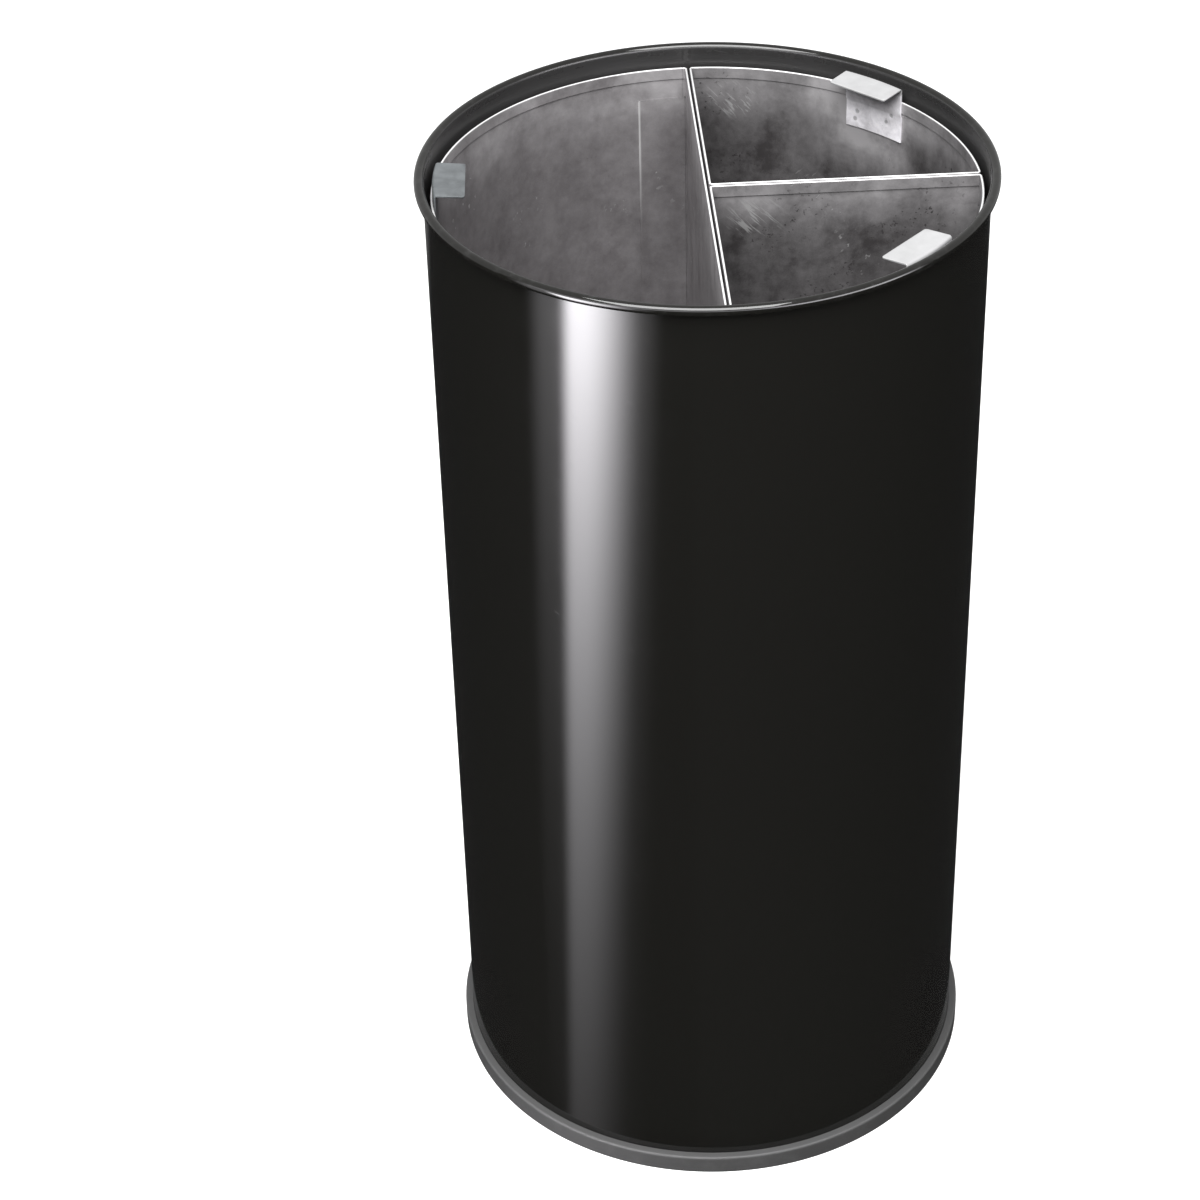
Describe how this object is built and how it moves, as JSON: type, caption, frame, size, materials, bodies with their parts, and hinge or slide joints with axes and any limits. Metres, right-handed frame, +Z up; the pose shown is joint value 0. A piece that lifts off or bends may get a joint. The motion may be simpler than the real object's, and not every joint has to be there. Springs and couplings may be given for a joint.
{
  "type": "three-compartment litter bin",
  "caption": "Round painted steel litter bin on a plastic foot ring, open at the top, with half-round and quarter-round galvanised liners that lift out by welded handles.",
  "frame": {"origin": "on the ground, on the axis of the round shell", "axes": "+Z up along the shell's axis; the half-round liner lies on the -X side and the quarter-round liners on the +X side, the back one towards +Y"},
  "size_m": [0.3693, 0.3694, 0.7],
  "materials": {
    "paint": "gloss black paint",
    "foot_plastic": "matt dark grey moulded plastic",
    "galvanised_sheet": "dull galvanised sheet, mottled and scuffed",
    "handle_steel": "smooth light galvanised strip"
  },
  "bodies": {
    "bin": {"shell": "paint", "shell_bottom": "paint", "foot_ring": "foot_plastic"},
    "half_liner": {"half_curved_wall": "galvanised_sheet", "half_dividing_wall": "galvanised_sheet", "half_bottom": "galvanised_sheet", "half_handle": "handle_steel"},
    "back_quarter_liner": {"back_curved_wall": "galvanised_sheet", "back_corner_wall": "galvanised_sheet", "back_bottom": "galvanised_sheet", "back_handle": "handle_steel"},
    "front_quarter_liner": {"front_curved_wall": "galvanised_sheet", "front_corner_wall": "galvanised_sheet", "front_bottom": "galvanised_sheet", "front_handle": "handle_steel"}
  },
  "joints": [
    {"name": "half_liner_lift", "type": "slide", "parent": "bin", "child": "half_liner", "axis": [0, 0, 1], "range_m": [0, 0.69]},
    {"name": "back_quarter_liner_lift", "type": "slide", "parent": "bin", "child": "back_quarter_liner", "axis": [0, 0, 1], "range_m": [0, 0.69]},
    {"name": "front_quarter_liner_lift", "type": "slide", "parent": "bin", "child": "front_quarter_liner", "axis": [0, 0, 1], "range_m": [0, 0.69]}
  ]
}
